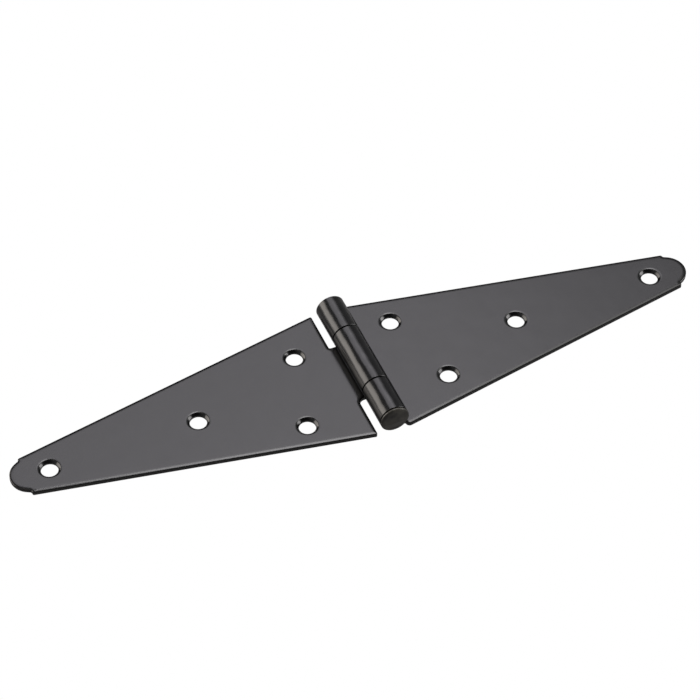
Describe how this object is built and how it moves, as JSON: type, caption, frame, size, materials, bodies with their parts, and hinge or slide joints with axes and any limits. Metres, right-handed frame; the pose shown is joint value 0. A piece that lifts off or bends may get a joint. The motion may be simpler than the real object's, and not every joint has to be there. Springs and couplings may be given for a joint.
{
  "type": "strap hinge",
  "caption": "Strap hinge with two tapering leaves, rolled knuckles and a headed pin, drilled and countersunk for screws, for gates, doors and box lids.",
  "frame": {"origin": "middle of the open hinge's box, on the plane of the leaves' backs, under the pin's axis", "axes": "+X along the strap from the pin to the right leaf's tip, +Y along the pin away from its head, +Z out of the leaves' front (countersunk) faces"},
  "size_m": [0.2033, 0.047, 0.0083],
  "materials": {
    "leaf_coat": "smooth satin black coat on stamped steel",
    "pin_coat": "the same black coat, a little duller on the pin's formed ends"
  },
  "bodies": {
    "right": {"right_leaf": "leaf_coat", "hinge_pin": "pin_coat"},
    "left": {"left_leaf": "leaf_coat"}
  },
  "joints": [
    {"name": "leaf_swing", "type": "hinge", "parent": "right", "child": "left", "pos_m": [0, 0, 0.00415], "axis": [0, 1, 0], "range_deg": [-90, 180]}
  ]
}
